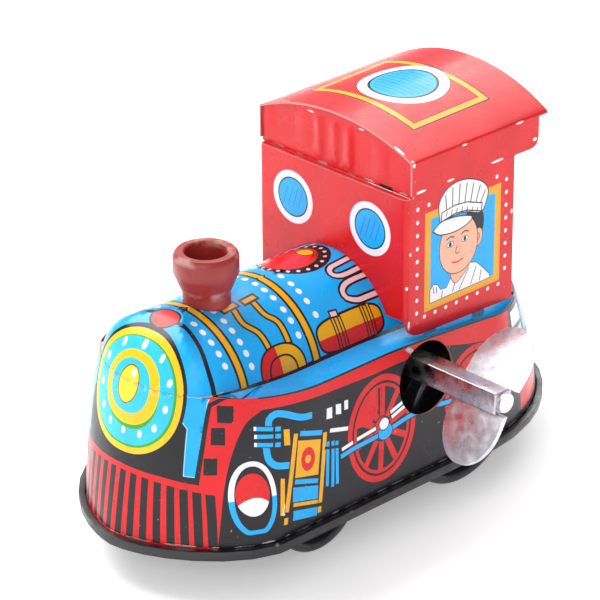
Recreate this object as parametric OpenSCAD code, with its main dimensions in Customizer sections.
// Tin clockwork locomotive. +X is the side with the key, the nose points to -Y, +Z is up.
// The origin is on the floor, under the middle of the body.

/* [Body] */
// Half length of the body, nose edge to rear edge, at its lower edge
body_half_len = 44.55; // [40:0.05:50]
// Half width of the body at its lower edge
body_half_w = 19.9; // [18:0.1:24]
// Height of the body's lower rim line above the floor
rim_z = 7.8; // [6.5:0.1:9]
// Height of the running board's edge above the rim line
shelf_h = 22.8; // [20:0.1:25]
// Height of the boiler's top above the rim line
boiler_top = 32.45; // [31:0.05:34]
// Radius of the boiler
boiler_r = 13.25; // [12:0.05:14]
// Thickness of the tinplate in the big shell
shell_t = 0.4; // [0.3:0.05:0.6]
// Radius of the key opening in the left side
keyhole_r = 6.0; // [4.5:0.1:6.2]

/* [Cab] */
// Outside half width of the cab walls
cab_half_w = 16.3; // [15:0.1:17]
// Front face of the cab
cab_y0 = 2.3; // [1:0.1:4]
// Rear edge of the cab walls
cab_y1 = 26.6; // [22:0.1:28]
// Lower edge of the roof's side flanges above the floor
cab_top = 53.9; // [50:0.1:56]
// Thickness of the cab's tinplate
cab_t = 0.35; // [0.3:0.05:0.5]
// Outside half width of the roof
roof_half_w = 16.85; // [16.7:0.05:18]
// Front and rear of the roof
roof_y0 = 3.0; // [2.7:0.05:4]
roof_y1 = 33.4; // [30:0.1:36]
// Height of the crease above each side flange
roof_side_z = 59.4; // [58:0.1:61]
// Rise of the arched roof above that crease
roof_rise = 4.7; // [3:0.1:6]

/* [Chimney] */
// Axis of the chimney
chimney_y = -24.2; // [-26:0.1:-20]
// Top of the chimney above the floor
chimney_top = 48.4; // [45:0.1:50]
// Bore of the chimney
chimney_bore_r = 3.3; // [3:0.05:3.8]
// Greatest radius of the chimney
chimney_r = 5.1; // [4.8:0.05:6.4]

/* [Wheels] */
// Driving wheel at the rear
rear_wheel_r = 12.4; // [12:0.1:12.6]
rear_axle_y = 15.7; // [15:0.1:16]
// Small wheel at the front
front_wheel_r = 8.8; // [8.5:0.1:9]
front_axle_y = -16.2; // [-17:0.1:-15]
// Outer face of every wheel
wheel_x = 16.5; // [16:0.1:16.8]
// Width of every wheel
wheel_w = 3.0; // [2:0.1:3.2]
// Radius of both axles
axle_r = 1.0; // [0.8:0.05:1.2]

/* [Clockwork] */
// Winding arbor
arbor_y = 4.3; // [4:0.1:4.6]
arbor_z = 25.3; // [25:0.1:25.5]
arbor_r = 1.5; // [1.3:0.05:1.6]
// Inner face of each motor plate
plate_x = 8.0; // [7.6:0.1:8.4]
plate_t = 0.7; // [0.5:0.05:0.8]
// Gear module, and teeth of the great wheel, lay pinion, lay wheel and axle pinion
gear_m = 0.6; // [0.6:0.01:0.6]
great_n = 36; // [36:1:36]
lay_pinion_n = 10; // [10:1:10]
lay_wheel_n = 28; // [28:1:28]
axle_pinion_n = 12; // [12:1:12]
// Teeth of the ratchet wheel on the arbor
ratchet_n = 16; // [12:1:20]
// Turns of the mainspring
spring_turns = 7; // [5:1:8]

/* [Key] */
// Side of the key's square tube
key_side = 3.65; // [3.2:0.05:4]
// Outer end of the key's tube
key_tip_x = 36.0; // [34:0.1:40]
// Middle of the wings along the tube
key_wing_x = 31.5; // [30:0.1:33]
// Half width and reach of each wing
key_wing_half_w = 5.3; // [4.5:0.1:6]
key_wing_reach = 11.5; // [9:0.1:12]
// Thickness of the key's sheet
key_t = 0.8; // [0.6:0.05:1]
// Lean of the wings from upright, towards the rear at the top
key_lean = 38; // [0:1:60]

/* [Hidden] */
eps = 0.01;
fine = 64;

// ---- body surface: heights w are measured above the rim line ----
ring_n = 25;               // intervals from nose to rear on each side
skirt_drop = 1.4;          // the skirt runs this far below the rim line, inside the tray
nose_flat_y = -26;         // the boiler starts to fall towards the nose here
rear_flat_y = 24.4;        // and towards the rear here
boiler_zc = boiler_top - boiler_r;
side_draft = 1.3;          // the skirt is this much narrower at the running board
trough = 1.0;              // depth of the hollow along the running board
function clamp01(v) = min(1, max(0, v));
function mix(a, b, k) = a + (b - a) * k;
// A value given at the rim, at the running board and at the boiler's top
function at_height(a, b, c, w, sh, top) =
    mix(a, b, clamp01(w / sh)) + (c - b) * clamp01((w - sh) / (top - sh));
// One end's roundness: 1 in the straight part, 0 at the very end
function end_round(u, n) = pow(max(0, 1 - pow(clamp01(u), n)), 1 / n);
function nose_y(w, t) = nose_flat_y
    - (body_half_len + nose_flat_y - t) * pow(1 - clamp01(w / (boiler_top - t)), 1 / 4.0);
function rear_y(w, t) = rear_flat_y
    + (body_half_len - rear_flat_y - t) * pow(1 - clamp01(w / (boiler_top - t)), 1 / 2.4);
function dome_x(y, w, t) =
    let (sh = shelf_h - t, top = boiler_top - t,
         nose_len = at_height(16.8, 22.6, 14.5, w, sh, top), nose_n = at_height(1.6, 2.3, 2.26, w, sh, top),
         rear_len = at_height(25.7, 16, 17.8, w, sh, top), rear_n = at_height(1.77, 1.71, 1.78, w, sh, top),
         half_w = body_half_w - t - side_draft * pow(clamp01(w / sh), 1.5))
    half_w * end_round((nose_y(w, t) + nose_len - y) / nose_len, nose_n)
           * end_round((y - rear_y(w, t) + rear_len) / rear_len, rear_n);
function boiler_x(w, t) = sqrt(max(0, pow(boiler_r - t, 2) - pow(w - boiler_zc, 2)));
// The smaller of two widths, with the corner between them rounded
function soft_min(a, b) = a < eps || b < eps ? 0 : pow(pow(a, -9) + pow(b, -9), -1 / 9);
// The running board rises towards the nose and sinks towards the rear
function board_rise(y, w, t) =
    let (k = pow(clamp01(w / (shelf_h - t)), 2) * clamp01((boiler_top - t - w) / (boiler_top - shelf_h)))
    k * (1.3 * pow(clamp01((-y - 18) / 17), 1.5) - 1.9 * pow(clamp01((y + 4) / 26), 1.3));
function ring_y(w, t, j) = mix(nose_y(w, t), rear_y(w, t), (1 - cos(180 * j / ring_n)) / 2);
function skirt_point(w, t, j) = let (y = ring_y(w, t, j))
    [dome_x(y, w, t), y, w + board_rise(y, w, t)];
function boiler_point(w, t, j) = let (y = ring_y(w, t, j))
    [soft_min(dome_x(y, w, t), boiler_x(w, t)), y, w + board_rise(y, w, t)];
// Between the skirt's edge and the boiler the board dips in the middle
function board_point(k, t, j) =
    let (a = skirt_point(shelf_h - t, t, j), b = boiler_point(shelf_h - t, t, j), p = mix(a, b, k))
    [p[0], p[1], p[2] - trough * sin(180 * k) * (a[0] - b[0]) / 5.9];
skirt_w = [0, 4, 9, 14, 18, 21, 22.3];
boiler_deg = [for (i = [0:8]) mix(asin((shelf_h - boiler_zc) / boiler_r), 86, i / 8)];
function level(i, t) = // one side's points, nose to rear
    let (ns = len(skirt_w))
    i == 0 ? [for (j = [0:ring_n]) let (p = skirt_point(0, t, j)) [p[0], p[1], -skirt_drop]]
    : i <= ns ? [for (j = [0:ring_n]) skirt_point(skirt_w[i - 1], t, j)]
    : i <= ns + 3 ? [for (j = [0:ring_n]) board_point((i - ns - 1) / 3, t, j)]
    : [for (j = [0:ring_n])
        boiler_point(boiler_zc + (boiler_r - t) * sin(boiler_deg[i - ns - 4]), t, j)];
levels = len(skirt_w) + 3 + len(boiler_deg);
loop_n = 2 * ring_n;
// A level as a closed loop, left side first, lifted to its height above the floor
function loop(i, t) = let (s = level(i, t))
    [for (j = [0:loop_n - 1]) let (p = j <= ring_n ? s[j] : s[loop_n - j])
        [j == 0 || j == ring_n ? 0 : j < ring_n ? max(p[0], 0.02) : -max(p[0], 0.02), p[1], p[2] + rim_z]];
function skin(first, flip) = [for (i = [0:levels - 1]) for (j = [0:loop_n - 1])
    let (a = first + i * loop_n + j, b = first + i * loop_n + (j + 1) % loop_n, c = b + loop_n, d = a + loop_n)
    for (f = [[a, d, b], [b, d, c]]) flip ? [f[0], f[2], f[1]] : f];
function lid(first, flip) = [for (j = [0:ring_n - 1])
    let (a = first + levels * loop_n + j, b = a + 1,
         c = first + levels * loop_n + (loop_n - j - 1) % loop_n,
         d = first + levels * loop_n + (loop_n - j) % loop_n)
    for (f = [[a, d, b], [b, d, c]]) if (f[0] != f[1] && f[1] != f[2] && f[0] != f[2])
        flip ? [f[0], f[2], f[1]] : f];
module shell_solid() {
    inner = (levels + 1) * loop_n;
    points = concat([for (i = [0:levels]) each loop(i, 0)], [for (i = [0:levels]) each loop(i, shell_t)]);
    bottom = [for (j = [0:loop_n - 1]) let (k = (j + 1) % loop_n)
        for (f = [[j, k, inner + j], [k, inner + k, inner + j]]) f];
    polyhedron(points = points, faces = concat(skin(0, false), lid(0, false),
        skin(inner, true), lid(inner, true), bottom), convexity = 8);
}
// Plan outline of the rim, moved outwards by d
function plan(d) = [for (j = [0:loop_n - 1])
    let (k = j <= ring_n ? j : loop_n - j, y = ring_y(0, 0, k), x = dome_x(y, 0, 0),
         y2 = ring_y(0, 0, min(ring_n, k + 1)), x2 = dome_x(y2, 0, 0),
         y0 = ring_y(0, 0, max(0, k - 1)), x0 = dome_x(y0, 0, 0) * (k == 0 ? -1 : 1),
         tx = (k == ring_n ? -x0 : x2) - (k == 0 ? -x2 : x0), ty = y2 - y0, l = sqrt(tx * tx + ty * ty),
         px = x + d * ty / l, py = y - d * tx / l)
    [(j <= ring_n ? 1 : -1) * (k == 0 || k == ring_n ? 0 : px), py]];

cab_tab_y = [8, 19];           // tabs under each cab wall
tab_w = 3;
tray_tab_y = [-28.5, -1.4, 31]; // tabs under the skirt
tab_t = 0.4;
tray_z0 = 5.9;                 // underside of the tray
tray_t = 0.4;
lip_r = 0.6;                   // the tray's rolled edge
lip_gap = 0.2;                 // between the skirt and the tray's wall

module body_shell() {
    color("deepskyblue") difference() {
        union() {
            shell_solid();
            tray_tabs();
        }
        translate([17.6, arbor_y, arbor_z - 1.7]) rotate([0, 90, 0]) cylinder(r = keyhole_r, h = 8, $fn = fine);
        translate([0, chimney_y, rim_z + boiler_top - 2]) cylinder(r = 1.05, h = 4, $fn = fine);
        for (s = [-1, 1]) for (y = cab_tab_y)
            translate([s * (cab_half_w - cab_t / 2) - 0.35, y - tab_w / 2 - 0.2, rim_z + shelf_h - 5.2])
                cube([0.7, tab_w + 0.4, 4.6]);
    }
}
module tray_tabs() { // bent under the tray
    for (s = [-1, 1]) for (y = tray_tab_y) {
        x = min(dome_x(y - 1.5, 0, 0), dome_x(y + 1.5, 0, 0)) - 0.05;
        translate([s > 0 ? x - tab_t : -x, y - 1.5, tray_z0 - tab_t]) cube([tab_t, 3, 3.4]);
        translate([s > 0 ? x - 2.8 : -x, y - 1.5, tray_z0 - tab_t - 0.02]) cube([2.8, 3, tab_t]);
    }
}
module base_tray() {
    color("dimgray") difference() {
        union() {
            translate([0, 0, tray_z0]) linear_extrude(tray_t) polygon(plan(lip_gap + 0.4));
            difference() {
                union() {
                    translate([0, 0, tray_z0]) linear_extrude(rim_z - tray_z0) polygon(plan(lip_gap + 0.4));
                    translate([0, 0, rim_z - 2 * lip_r]) linear_extrude(2 * lip_r) polygon(plan(2 * lip_r));
                }
                translate([0, 0, tray_z0 + tray_t]) linear_extrude(5) polygon(plan(lip_gap));
            }
        }
        for (s = [-1, 1]) {
            wheel_slot(s, rear_axle_y, rear_wheel_r);
            wheel_slot(s, front_axle_y, front_wheel_r);
            for (y = tray_tab_y) {
                x = min(dome_x(y - 1.5, 0, 0), dome_x(y + 1.5, 0, 0)) - 0.05;
                translate([s > 0 ? x - tab_t - 0.1 : -x - 0.1, y - 1.6, tray_z0 - 1]) cube([tab_t + 0.2, 3.2, 2]);
            }
            for (y = motor_feet_y) translate([s * (plate_x + plate_t / 2) - plate_t / 2 - 0.05, y - 2.1, tray_z0 - 1])
                cube([plate_t + 0.1, 4.2, 2]);
            for (y = bracket_rivet_y) translate([s * 4, y, tray_z0 - 1]) cylinder(r = 0.8, h = 2, $fn = fine);
        }
    }
}
module wheel_slot(s, y, r) {
    reach = sqrt(r * r - pow(r - tray_z0 - tray_t, 2)) + 0.8;
    translate([s * (wheel_x - wheel_w / 2) - wheel_w / 2 - 0.5, y - reach, tray_z0 - 1])
        cube([wheel_w + 1, 2 * reach, 2]);
}

// ---- cab and roof ----
function wall_foot(y) = rim_z + 21.95 - 0.034 * (y - cab_y0);  // just above the running board
wall_top = 59.1;               // the side walls end inside the roof's flanges
hem_z = 53.2;                  // the front wall ends in a hem, which holds the roof's front flange
module corner_cut(r) { // what rounding takes off a corner at the origin, towards +x and +y
    difference() {
        translate([-1, -1]) square([r + 1, r + 1]);
        translate([r, r]) circle(r, $fn = fine);
    }
}
module cab_side_outline() {
    difference() {
        polygon([[cab_y0, wall_foot(cab_y0)], [cab_y1, wall_foot(cab_y1)], [cab_y1, wall_top],
            [roof_y0 + cab_t + 0.1, wall_top], [roof_y0 + cab_t + 0.1, hem_z], [cab_y0, hem_z]]);
        translate([cab_y0, wall_foot(cab_y0)]) corner_cut(3);
    }
}
module cab_front_outline() {
    difference() {
        translate([-cab_half_w, wall_foot(cab_y0) + 3]) square([2 * cab_half_w, hem_z - wall_foot(cab_y0) - 3]);
        translate([0, rim_z + boiler_zc]) circle(boiler_r + 0.12, $fn = 128);
    }
}
module cab_shell() {
    color("red") {
        for (s = [-1, 1]) {
            translate([s > 0 ? cab_half_w - cab_t : -cab_half_w, 0, 0])
                rotate([90, 0, 90]) linear_extrude(cab_t) cab_side_outline();
            for (y = cab_tab_y)
                translate([s * (cab_half_w - cab_t / 2) - cab_t / 2, y - tab_w / 2, wall_foot(y) - 1.8])
                    cube([cab_t, tab_w, 2]);
        }
        translate([0, cab_y0 + cab_t, 0]) rotate([90, 0, 0]) linear_extrude(cab_t) cab_front_outline();
        translate([-cab_half_w + 0.4, cab_y0, hem_z - 0.3]) cube([2 * cab_half_w - 0.8, roof_y0 + 0.6 - cab_y0, 0.3]);
        translate([0, cab_y0, hem_z - 0.4]) rotate([0, 90, 0])
            cylinder(r = 0.4, h = 2 * cab_half_w - 1, center = true, $fn = fine);
    }
}
roof_r = (roof_half_w * roof_half_w + roof_rise * roof_rise) / (2 * roof_rise);
roof_zc = roof_side_z + roof_rise - roof_r;
module arch(d, low) { // the roof's section, d inside its outer face, from height low
    intersection() {
        translate([0, roof_zc]) circle(roof_r - d, $fn = 256);
        translate([-roof_half_w + d, low]) square([2 * (roof_half_w - d), 12]);
    }
}
flange_y1 = 31.5;              // rear ends of the side flanges
flute_x = [-1.9, 0, 1.9];
module roof() {
    front_z = hem_z + 0.05;
    color("crimson") {
        difference() {
            translate([0, roof_y1, 0]) rotate([90, 0, 0]) linear_extrude(roof_y1 - roof_y0) difference() {
                arch(0, cab_top);
                arch(cab_t, cab_top - 1);
            }
            rotate([90, 0, 90]) linear_extrude(80, center = true) union() {
                translate([flange_y1, cab_top - 1]) square([5, roof_side_z - cab_top + 0.5]);
                translate([flange_y1, cab_top]) mirror([1, 0]) corner_cut(1.6);
            }
        }
        translate([0, roof_y0 + cab_t, 0]) rotate([90, 0, 0]) linear_extrude(cab_t) arch(0, front_z);
        for (x = flute_x) translate([x, roof_y0, front_z + 0.5]) intersection() {
            cylinder(r = 0.4, h = 7.4, $fn = fine);
            translate([-1, -1, 0]) cube([2, 1.1, 7.4]);
        }
        // rolled rear edge
        translate([0, roof_y1, 0]) rotate([90, 0, 0]) linear_extrude(0.5) difference() {
            arch(0, roof_side_z - 0.5);
            arch(0.8, roof_side_z - 1);
        }
    }
}

// ---- chimney ----
chimney_floor = chimney_top - 6.4;
module chimney() {
    color("firebrick") difference() {
        translate([0, chimney_y, 0]) rotate_extrude($fn = 128) polygon([
            [1.0, rim_z + boiler_top - 3], [3.75, rim_z + boiler_top - 3], [3.7, chimney_top - 7.4],
            [3.75, chimney_top - 6.6], [chimney_r - 0.2, chimney_top - 3.8], [chimney_r, chimney_top - 3.3],
            [chimney_r, chimney_top - 0.9], [chimney_r - 0.15, chimney_top - 0.4],
            [chimney_r - 0.5, chimney_top], [chimney_bore_r + 0.25, chimney_top],
            [chimney_bore_r, chimney_top - 0.25], [chimney_bore_r, chimney_floor], [2.1, chimney_floor],
            [2.1, chimney_floor - 0.7], [1.0, chimney_floor - 0.7]]);
        translate([0, chimney_y - 8, rim_z + boiler_zc]) rotate([-90, 0, 0])
            cylinder(r = boiler_r + 0.02, h = 16, $fn = 256);
    }
}
module chimney_rivet() {
    low = rim_z + boiler_top - shell_t - 0.6;
    color("silver") translate([0, chimney_y, 0]) {
        translate([0, 0, low]) cylinder(r = 0.95, h = chimney_floor - low - 0.2, $fn = fine);
        translate([0, 0, chimney_floor - 0.69]) cylinder(r = 1.9, h = 0.6, $fn = fine);
        translate([0, 0, low - 0.5]) cylinder(r = 1.9, h = 0.5, $fn = fine);
    }
}

// ---- key ----
key_root_x = 11;               // inner end of the key's tube
socket_side = 2.1;             // square socket for the arbor's end
socket_end_x = 26;
module on_arbor() { translate([0, arbor_y, arbor_z]) children(); }
module key_tube() {
    color("silver") on_arbor() rotate([-3, 0, 0]) difference() {
        translate([key_root_x, -key_side / 2, -key_side / 2]) cube([key_tip_x - 0.7 - key_root_x, key_side, key_side]);
        translate([key_root_x - 1, -socket_side / 2, -socket_side / 2])
            cube([socket_end_x - key_root_x + 1, socket_side, socket_side]);
        translate([key_tip_x - 4, 0, 0]) rotate([0, 90, 0]) cylinder(r = 0.9, h = 5, $fn = fine);
    }
}
wing_straight = 4.6;           // the wings' edges are straight up to here
module wing_outline() { // x along the tube, y outwards
    long = key_wing_reach - wing_straight;
    translate([-key_wing_half_w, 0]) square([2 * key_wing_half_w, wing_straight]);
    intersection() {
        translate([-key_wing_half_w, wing_straight - 0.1]) square([2 * key_wing_half_w, long + 1]);
        polygon([for (i = [0:48]) let (a = 180 * i / 48)
            [key_wing_half_w * cos(a), wing_straight + long * sin(a) - (i == 0 || i == 48 ? 0.5 : 0)]]);
    }
}
module key_wing(turn) {
    on_arbor() difference() {
        rotate([-turn, 0, 0]) translate([key_wing_x, key_t / 2, 0])
            rotate([90, 0, 0]) linear_extrude(key_t) wing_outline();
        rotate([-3, 0, 0]) translate([key_wing_x - 8, -key_side / 2, -key_side / 2])
            cube([16, key_side, key_side]);
    }
}
module key_wings() {
    color("silver") {
        key_wing(key_lean + 7);
        key_wing(180 + key_lean - 7);
    }
}
module key_rivet() {
    color("silver") on_arbor() rotate([0, 90, 0]) {
        translate([0, 0, key_tip_x - 3.5]) cylinder(r = 0.9, h = 3.3, $fn = fine);
        translate([0, 0, key_tip_x - 0.7]) cylinder(r = 1.55, h = 0.7, $fn = fine);
    }
}

// ---- clockwork ----
motor_feet_y = [-3, 21];
ratchet_x = 3.9;
great_x = 5.2;
wheel_t = 0.8;
gear_clear = 0.05;             // added to each pair's centre distance
great_r = gear_m * great_n / 2;
lay_pinion_r = gear_m * lay_pinion_n / 2;
lay_wheel_r = gear_m * lay_wheel_n / 2;
axle_pinion_r = gear_m * axle_pinion_n / 2;
d_lay = great_r + lay_pinion_r + gear_clear;
d_axle = lay_wheel_r + axle_pinion_r + gear_clear;
rear_z = rear_wheel_r;
front_z = front_wheel_r;
span_y = rear_axle_y - arbor_y;
span_z = rear_z - arbor_z;
span = sqrt(span_y * span_y + span_z * span_z);
along = (d_lay * d_lay - d_axle * d_axle + span * span) / (2 * span);
across = sqrt(d_lay * d_lay - along * along);
lay_y = arbor_y + (span_y * along - span_z * across) / span;
lay_z = arbor_z + (span_z * along + span_y * across) / span;
// Directions between arbors, anticlockwise seen from +X, from +Y
to_lay = atan2(lay_z - arbor_z, lay_y - arbor_y);
to_axle = atan2(rear_z - lay_z, rear_axle_y - lay_y);
// An involute tooth space is left between teeth; play is taken off each flank
play = 0.07;
function inv_point(rb, r) = let (a = acos(min(1, rb / r))) tan(a) * 180 / PI - a;
function flank(n, k) = // half angle of a tooth at step k of 4, and the radius there
    let (rp = gear_m * n / 2, rb = rp * cos(22), ra = rp + 0.92 * gear_m, r0 = max(rb, rp - 0.6 * gear_m),
         r = mix(r0, ra, k / 4))
    [90 / n - play / rp * 180 / PI - (inv_point(rb, r) - inv_point(rb, rp)), r];
module gear_outline(n) {
    root_r = gear_m * n / 2 - 1.25 * gear_m;
    polygon([for (i = [0:n - 1]) let (mid = 360 * i / n, f0 = flank(n, 0)) each concat(
        [[root_r * cos(mid - f0[0] - 1), root_r * sin(mid - f0[0] - 1)]],
        [for (k = [0:4]) let (f = flank(n, k)) [f[1] * cos(mid - f[0]), f[1] * sin(mid - f[0])]],
        [for (k = [4:-1:0]) let (f = flank(n, k)) [f[1] * cos(mid + f[0]), f[1] * sin(mid + f[0])]],
        [[root_r * cos(mid + f0[0] + 1), root_r * sin(mid + f0[0] + 1)]])]);
}
// Sets a flat outline (its x along +Y, its y along +Z) on an arbor, from x0, t thick
module sheet_on(y, z, x0, t) {
    translate([x0, y, z]) rotate([90, 0, 90]) linear_extrude(t) children();
}
module rod(y, z, x0, x1, r) {
    translate([x0, y, z]) rotate([0, 90, 0]) cylinder(r = r, h = x1 - x0, $fn = fine);
}
module winding_arbor() {
    color("silver") {
        rod(arbor_y, arbor_z, -plate_x - plate_t - 0.8, key_root_x - 0.6, arbor_r);
        on_arbor() rotate([-3, 0, 0]) translate([key_root_x - 0.8, -1, -1])
            cube([socket_end_x - key_root_x - 0.2, 2, 2]);
        rod(arbor_y, arbor_z, plate_x + plate_t + 0.1, plate_x + plate_t + 0.7, 2.2);
        rod(arbor_y, arbor_z, -plate_x - plate_t - 1.1, -plate_x - plate_t - 0.1, 2.2);
        rod(arbor_y, arbor_z, great_x + wheel_t + 0.1, great_x + wheel_t + 0.7, 2.4);
    }
}
ratchet_r = 4.6;
module ratchet_wheel() {
    color("goldenrod") sheet_on(arbor_y, arbor_z, ratchet_x, wheel_t) difference() {
        polygon([for (i = [0:ratchet_n - 1]) for (e = [[0, ratchet_r], [360 / ratchet_n - 3, ratchet_r - 0.9]])
            [e[1] * cos(360 * i / ratchet_n + e[0]), e[1] * sin(360 * i / ratchet_n + e[0])]]);
        circle(arbor_r, $fn = fine);
    }
}
module great_wheel() {
    color("goldenrod") sheet_on(arbor_y, arbor_z, great_x, wheel_t) rotate(to_lay) difference() {
        gear_outline(great_n);
        circle(arbor_r + 0.06, $fn = fine);
        for (a = [30:120:270]) rotate(a) translate([6.2, 0]) circle(1.6, $fn = fine);
        rotate(-60) translate([8.0, 0]) circle(0.5, $fn = fine);
    }
}
// The click swings on a pin in the great wheel and rides just above the ratchet's teeth
click_at = to_lay - 60;
click_y = arbor_y + 8.0 * cos(click_at);
click_z = arbor_z + 8.0 * sin(click_at);
module click() {
    color("silver") translate([ratchet_x, arbor_y, arbor_z]) rotate([90, 0, 90]) rotate(click_at) difference() {
        union() {
            translate([8.0, 0, 0]) cylinder(r = 1.3, h = wheel_t, $fn = fine);
            linear_extrude(wheel_t) polygon([[7.0, -0.8], [9.2, -0.4], [7.6, -3.4], [4.4, -3.8], [3.9, -2.95]]);
        }
        translate([8.0, 0, -1]) cylinder(r = 0.54, h = 3, $fn = fine);
    }
}
module click_pin() {
    color("silver") {
        rod(click_y, click_z, ratchet_x - 0.1, great_x + wheel_t, 0.5);
        rod(click_y, click_z, ratchet_x - 0.5, ratchet_x - 0.1, 1.0);
    }
}
module click_spring() { // a bent strip riveted to the great wheel
    color("silver") translate([ratchet_x, arbor_y, arbor_z]) rotate([90, 0, 90]) rotate(click_at)
        linear_extrude(great_x - ratchet_x) polygon([[9.9, 2.2], [10.15, 2.2], [10.15, -1.0], [8.75, -3.9], [8.5, -3.8], [9.9, -0.95]]);
}
spring_x0 = -5.2;
spring_w = 8.2;
spring_t = 0.3;
spring_in = arbor_r + 0.35;
spring_out = 9.4;
module mainspring() {
    steps = 24 * spring_turns;
    color("steelblue") sheet_on(arbor_y, arbor_z, spring_x0, spring_w) polygon(concat(
        [for (i = [0:steps]) let (a = 360 * spring_turns * i / steps + 245, r = mix(spring_in, spring_out, i / steps))
            [r * cos(a), r * sin(a)]],
        [for (i = [steps:-1:0]) let (a = 360 * spring_turns * i / steps + 245, r = mix(spring_in, spring_out, i / steps))
            [(r + spring_t) * cos(a), (r + spring_t) * sin(a)]]));
}
pillars = [[-5, 11], [-6.2, 33.2], [21, 9.5], [25.6, 32.2]];   // y and z of the motor's pillars
anchor_y = arbor_y + (spring_out + spring_t + 0.75) * cos(245);
anchor_z = arbor_z + (spring_out + spring_t + 0.75) * sin(245);
module spring_anchor() { color("silver") rod(anchor_y, anchor_z, -plate_x, spring_x0 + spring_w, 0.7); }
module motor_pillars() {
    color("silver") for (p = pillars) {
        rod(p[0], p[1], -plate_x, plate_x, 1.3);
        rod(p[0], p[1], -plate_x - plate_t - 1.2, plate_x + plate_t + 1.2, 0.75);
    }
}
module pillar_nuts() {
    color("goldenrod") for (p = pillars) for (x = [-plate_x - plate_t - 1, plate_x + plate_t])
        translate([x, p[0], p[1]]) rotate([0, 90, 0]) difference() {
            cylinder(r = 1.7, h = 1, $fn = 6);
            translate([0, 0, -1]) cylinder(r = 0.75, h = 3, $fn = fine);
        }
}
plate_low = tray_z0 + tray_t + 0.02;
module motor_plate(x0) {
    color("darkgray") sheet_on(0, 0, x0, plate_t) difference() {
        polygon(concat([[-8.4, plate_low], [-8.4, 33.8], [-6.6, 35.4], [2, 35.9], [8, 35.9], [26, 34.4],
            [27.8, 32.4], [27.8, 29.5], [24, 24], [24, plate_low]],
            [for (y = [motor_feet_y[1], motor_feet_y[0]]) each
                [[y + 2, plate_low], [y + 2, tray_z0 - 0.3], [y - 2, tray_z0 - 0.3], [y - 2, plate_low]]]));
        translate([arbor_y, arbor_z]) circle(arbor_r + 0.06, $fn = fine);
        translate([lay_y, lay_z]) circle(axle_r + 0.06, $fn = fine);
        translate([rear_axle_y, rear_z]) circle(axle_r + 0.06, $fn = fine);
        for (p = pillars) translate([p[0], p[1]]) circle(0.75, $fn = fine);
        translate([4, 10.5]) circle(2.6, $fn = fine);
        translate([-3, 20]) circle(2.2, $fn = fine);
    }
}
module motor_plate_left() { motor_plate(plate_x); }
module motor_plate_right() { motor_plate(-plate_x - plate_t); }
lay_wheel_x = -6.9;
module lay_arbor() {
    color("silver") {
        rod(lay_y, lay_z, -plate_x - plate_t - 0.7, plate_x + plate_t + 0.7, axle_r);
        rod(lay_y, lay_z, -plate_x + 0.1, -plate_x + 0.5, 1.6);
        rod(lay_y, lay_z, plate_x - 0.5, plate_x - 0.1, 1.6);
    }
}
module lay_pinion() {
    turn = to_lay + 180 + 180 / lay_pinion_n;
    color("goldenrod") sheet_on(lay_y, lay_z, great_x - 0.6, wheel_t + 1.4) rotate(turn) difference() {
        gear_outline(lay_pinion_n);
        circle(axle_r, $fn = fine);
    }
}
module lay_wheel() {
    color("goldenrod") sheet_on(lay_y, lay_z, lay_wheel_x, wheel_t) rotate(to_axle) difference() {
        gear_outline(lay_wheel_n);
        circle(axle_r, $fn = fine);
        for (a = [0:90:270]) rotate(a + 45) translate([4.8, 0]) circle(1.5, $fn = fine);
    }
}
module axle_pinion() {
    turn = to_axle + 180 + 180 / axle_pinion_n;
    color("goldenrod") sheet_on(rear_axle_y, rear_z, lay_wheel_x - 0.4, wheel_t + 0.8) rotate(turn) difference() {
        gear_outline(axle_pinion_n);
        circle(axle_r, $fn = fine);
    }
}

// ---- wheels ----
axle_end = wheel_x + 0.5;
module axle(y, z) {
    rod(y, z, -axle_end, axle_end, axle_r);
    for (s = [-1, 1]) rod(y, z, s > 0 ? wheel_x + 0.1 : -axle_end, s > 0 ? axle_end : -wheel_x - 0.1, 1.4);
}
module rear_axle() {
    color("silver") {
        axle(rear_axle_y, rear_z);
        rod(rear_axle_y, rear_z, plate_x - 0.8, plate_x - 0.1, 1.7);
    }
}
module front_axle() { color("silver") axle(front_axle_y, front_z); }
module wheel(r) { // outer face towards +X, bore along X
    hub_r = 2.6;
    tread = r - 1.5;
    rotate([0, 90, 0]) rotate_extrude($fn = 180) polygon([
        [axle_r, 0], [hub_r, 0], [hub_r, 1.1], [tread - 0.5, 1.1], [tread, 0.3], [tread + 0.3, 0],
        [r - 0.3, 0], [r, 0.3], [r, wheel_w - 0.4], [r - 0.4, wheel_w], [tread + 0.3, wheel_w],
        [tread, wheel_w - 0.3], [tread - 0.5, 1.9], [hub_r + 0.4, 1.9], [hub_r, wheel_w], [axle_r, wheel_w]]);
}
module rear_wheel_left() {
    color("black") translate([wheel_x - wheel_w, rear_axle_y, rear_z]) wheel(rear_wheel_r);
}
module rear_wheel_right() {
    color("black") translate([-wheel_x + wheel_w, rear_axle_y, rear_z]) rotate([0, 0, 180]) wheel(rear_wheel_r);
}
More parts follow.
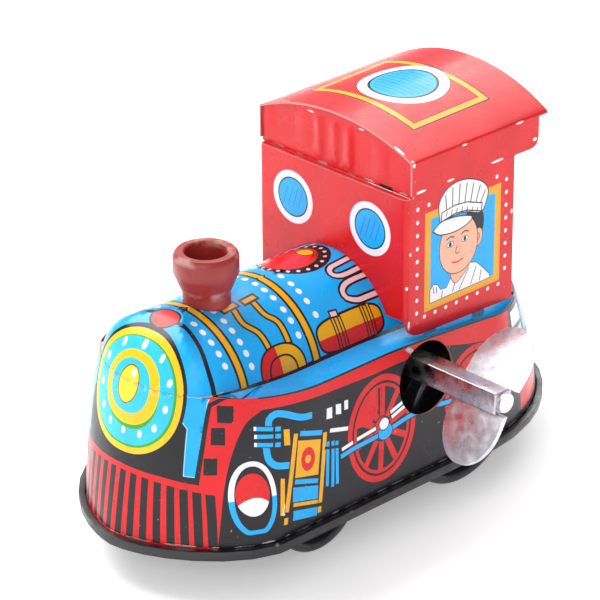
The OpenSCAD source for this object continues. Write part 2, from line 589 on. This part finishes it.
module front_wheel_left() {
    color("black") translate([wheel_x - wheel_w, front_axle_y, front_z]) wheel(front_wheel_r);
}
module front_wheel_right() {
    color("black") translate([-wheel_x + wheel_w, front_axle_y, front_z]) rotate([0, 0, 180]) wheel(front_wheel_r);
}
bracket_x = 9.5;
bracket_rivet_y = [front_axle_y - 2.4, front_axle_y + 2.4];
module front_bracket() {
    foot = tray_z0 + tray_t + 0.02;
    color("darkgray") difference() {
        union() {
            translate([-bracket_x, front_axle_y - 4.5, foot]) cube([2 * bracket_x, 9, 0.6]);
            for (s = [-1, 1]) translate([s > 0 ? bracket_x - 0.6 : -bracket_x, front_axle_y, foot])
                rotate([90, 0, 90]) linear_extrude(0.6) union() {
                    translate([-4.5, 0]) square([9, 0.6]);
                    polygon([[-4.5, 0.5], [4.5, 0.5], [2.6, front_z - foot + 1], [-2.6, front_z - foot + 1]]);
                    translate([0, front_z - foot]) circle(2.2, $fn = fine);
                }
        }
        rod(front_axle_y, front_z, -12, 12, axle_r + 0.06);
        for (s = [-1, 1]) for (y = bracket_rivet_y)
            translate([s * 4, y, foot - 1]) cylinder(r = 0.8, h = 3, $fn = fine);
    }
}
module bracket_rivets() {
    color("silver") for (s = [-1, 1]) for (y = bracket_rivet_y) translate([s * 4, y, 0]) {
        translate([0, 0, tray_z0 - 0.4]) cylinder(r = 0.78, h = 1.9, $fn = fine);
        translate([0, 0, tray_z0 - 0.5]) cylinder(r = 1.4, h = 0.48, $fn = fine);
        translate([0, 0, tray_z0 + tray_t + 0.64]) cylinder(r = 1.4, h = 0.5, $fn = fine);
    }
}

body_shell();
cab_shell();
roof();
chimney();
chimney_rivet();
base_tray();
key_tube();
key_wings();
key_rivet();
winding_arbor();
ratchet_wheel();
great_wheel();
click();
click_pin();
click_spring();
mainspring();
spring_anchor();
motor_plate_left();
motor_plate_right();
motor_pillars();
pillar_nuts();
lay_arbor();
lay_wheel();
lay_pinion();
rear_axle();
axle_pinion();
rear_wheel_left();
rear_wheel_right();
front_bracket();
bracket_rivets();
front_axle();
front_wheel_left();
front_wheel_right();
